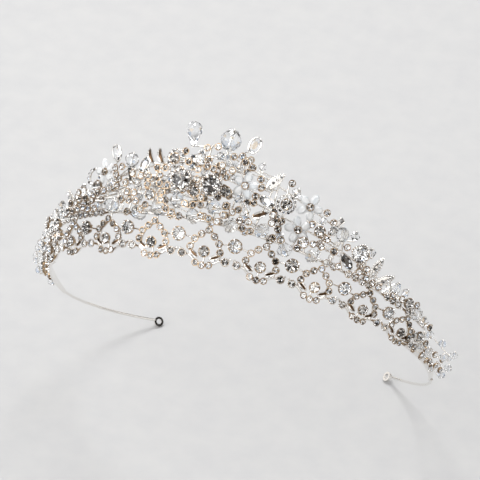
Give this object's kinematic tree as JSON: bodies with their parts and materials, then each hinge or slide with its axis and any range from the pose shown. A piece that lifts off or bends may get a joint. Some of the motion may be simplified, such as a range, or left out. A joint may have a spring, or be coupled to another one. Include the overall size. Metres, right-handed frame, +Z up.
{
  "type": "bridal tiara",
  "caption": "Crystal bridal tiara: an open band of arches under a tall spray of beads, leaves and stones, with two wire arms ending in eyelets.",
  "frame": {"origin": "centre of the band's circle, the middle of the space for the head", "axes": "+Z up as the tiara is worn, the wearer faces -Y, +X across the head; the band's plane is tilted 55 degrees, front up"},
  "size_m": [0.1606, 0.0843, 0.1393],
  "materials": {
    "cast_silver_plate": "cast and silver plated, bright with a faint warm tarnish in the recesses",
    "polished_silver_plate": "polished silver plate",
    "drawn_silver_wire": "drawn silver-plated wire",
    "cut_crystal": "clear faceted crystal with a foiled back",
    "glass_bead": "clear faceted glass"
  },
  "bodies": {
    "root": {"accent_claw_cups": "cast_silver_plate", "accent_stones": "cut_crystal", "arch_claw_cups": "cast_silver_plate", "arch_frames": "cast_silver_plate", "arch_stones": "cut_crystal", "baguette_settings": "cast_silver_plate", "baguette_stones": "cut_crystal", "bead_pins": "drawn_silver_wire", "bicone_beads": "glass_bead", "crown_ball": "glass_bead", "crown_teardrop": "glass_bead", "crystal_petals": "glass_bead", "crystal_rondelles": "glass_bead", "cushion_cup": "cast_silver_plate", "cushion_stone": "cut_crystal", "drop_bezels": "cast_silver_plate", "drop_stones": "cut_crystal", "filigree_flowers": "cast_silver_plate", "flower_claw_cups": "cast_silver_plate", "flower_stones": "cut_crystal", "gallery_links": "drawn_silver_wire", "heart_claw_cups": "cast_silver_plate", "heart_stones": "cut_crystal", "large_round_beads": "glass_bead", "left_end_eyelet": "drawn_silver_wire", "left_end_plate": "polished_silver_plate", "left_wire_arm": "drawn_silver_wire", "lower_cross_wire": "drawn_silver_wire", "navette_settings": "cast_silver_plate", "navette_stones": "cut_crystal", "oval_beads": "glass_bead", "oval_loops": "polished_silver_plate", "pave_leaves": "cast_silver_plate", "pave_stones": "cut_crystal", "polished_leaves": "polished_silver_plate", "right_end_eyelet": "drawn_silver_wire", "right_end_plate": "polished_silver_plate", "right_wire_arm": "drawn_silver_wire", "rim_bezels": "cast_silver_plate", "rim_stones": "cut_crystal", "ring_links": "cast_silver_plate", "ring_stones": "cut_crystal", "round_beads": "glass_bead", "small_claw_cups": "cast_silver_plate", "small_stones": "cut_crystal", "solitaire_cups": "cast_silver_plate", "solitaire_stones": "cut_crystal", "span_claw_cups": "cast_silver_plate", "span_stones": "cut_crystal", "spray_posts": "drawn_silver_wire", "spray_rail": "drawn_silver_wire", "spray_stems": "drawn_silver_wire", "swag_frames": "cast_silver_plate", "swag_leaves": "polished_silver_plate", "upper_cross_wire": "drawn_silver_wire", "vine_claw_cups": "cast_silver_plate", "vine_stones": "cut_crystal"}
  },
  "joints": []
}
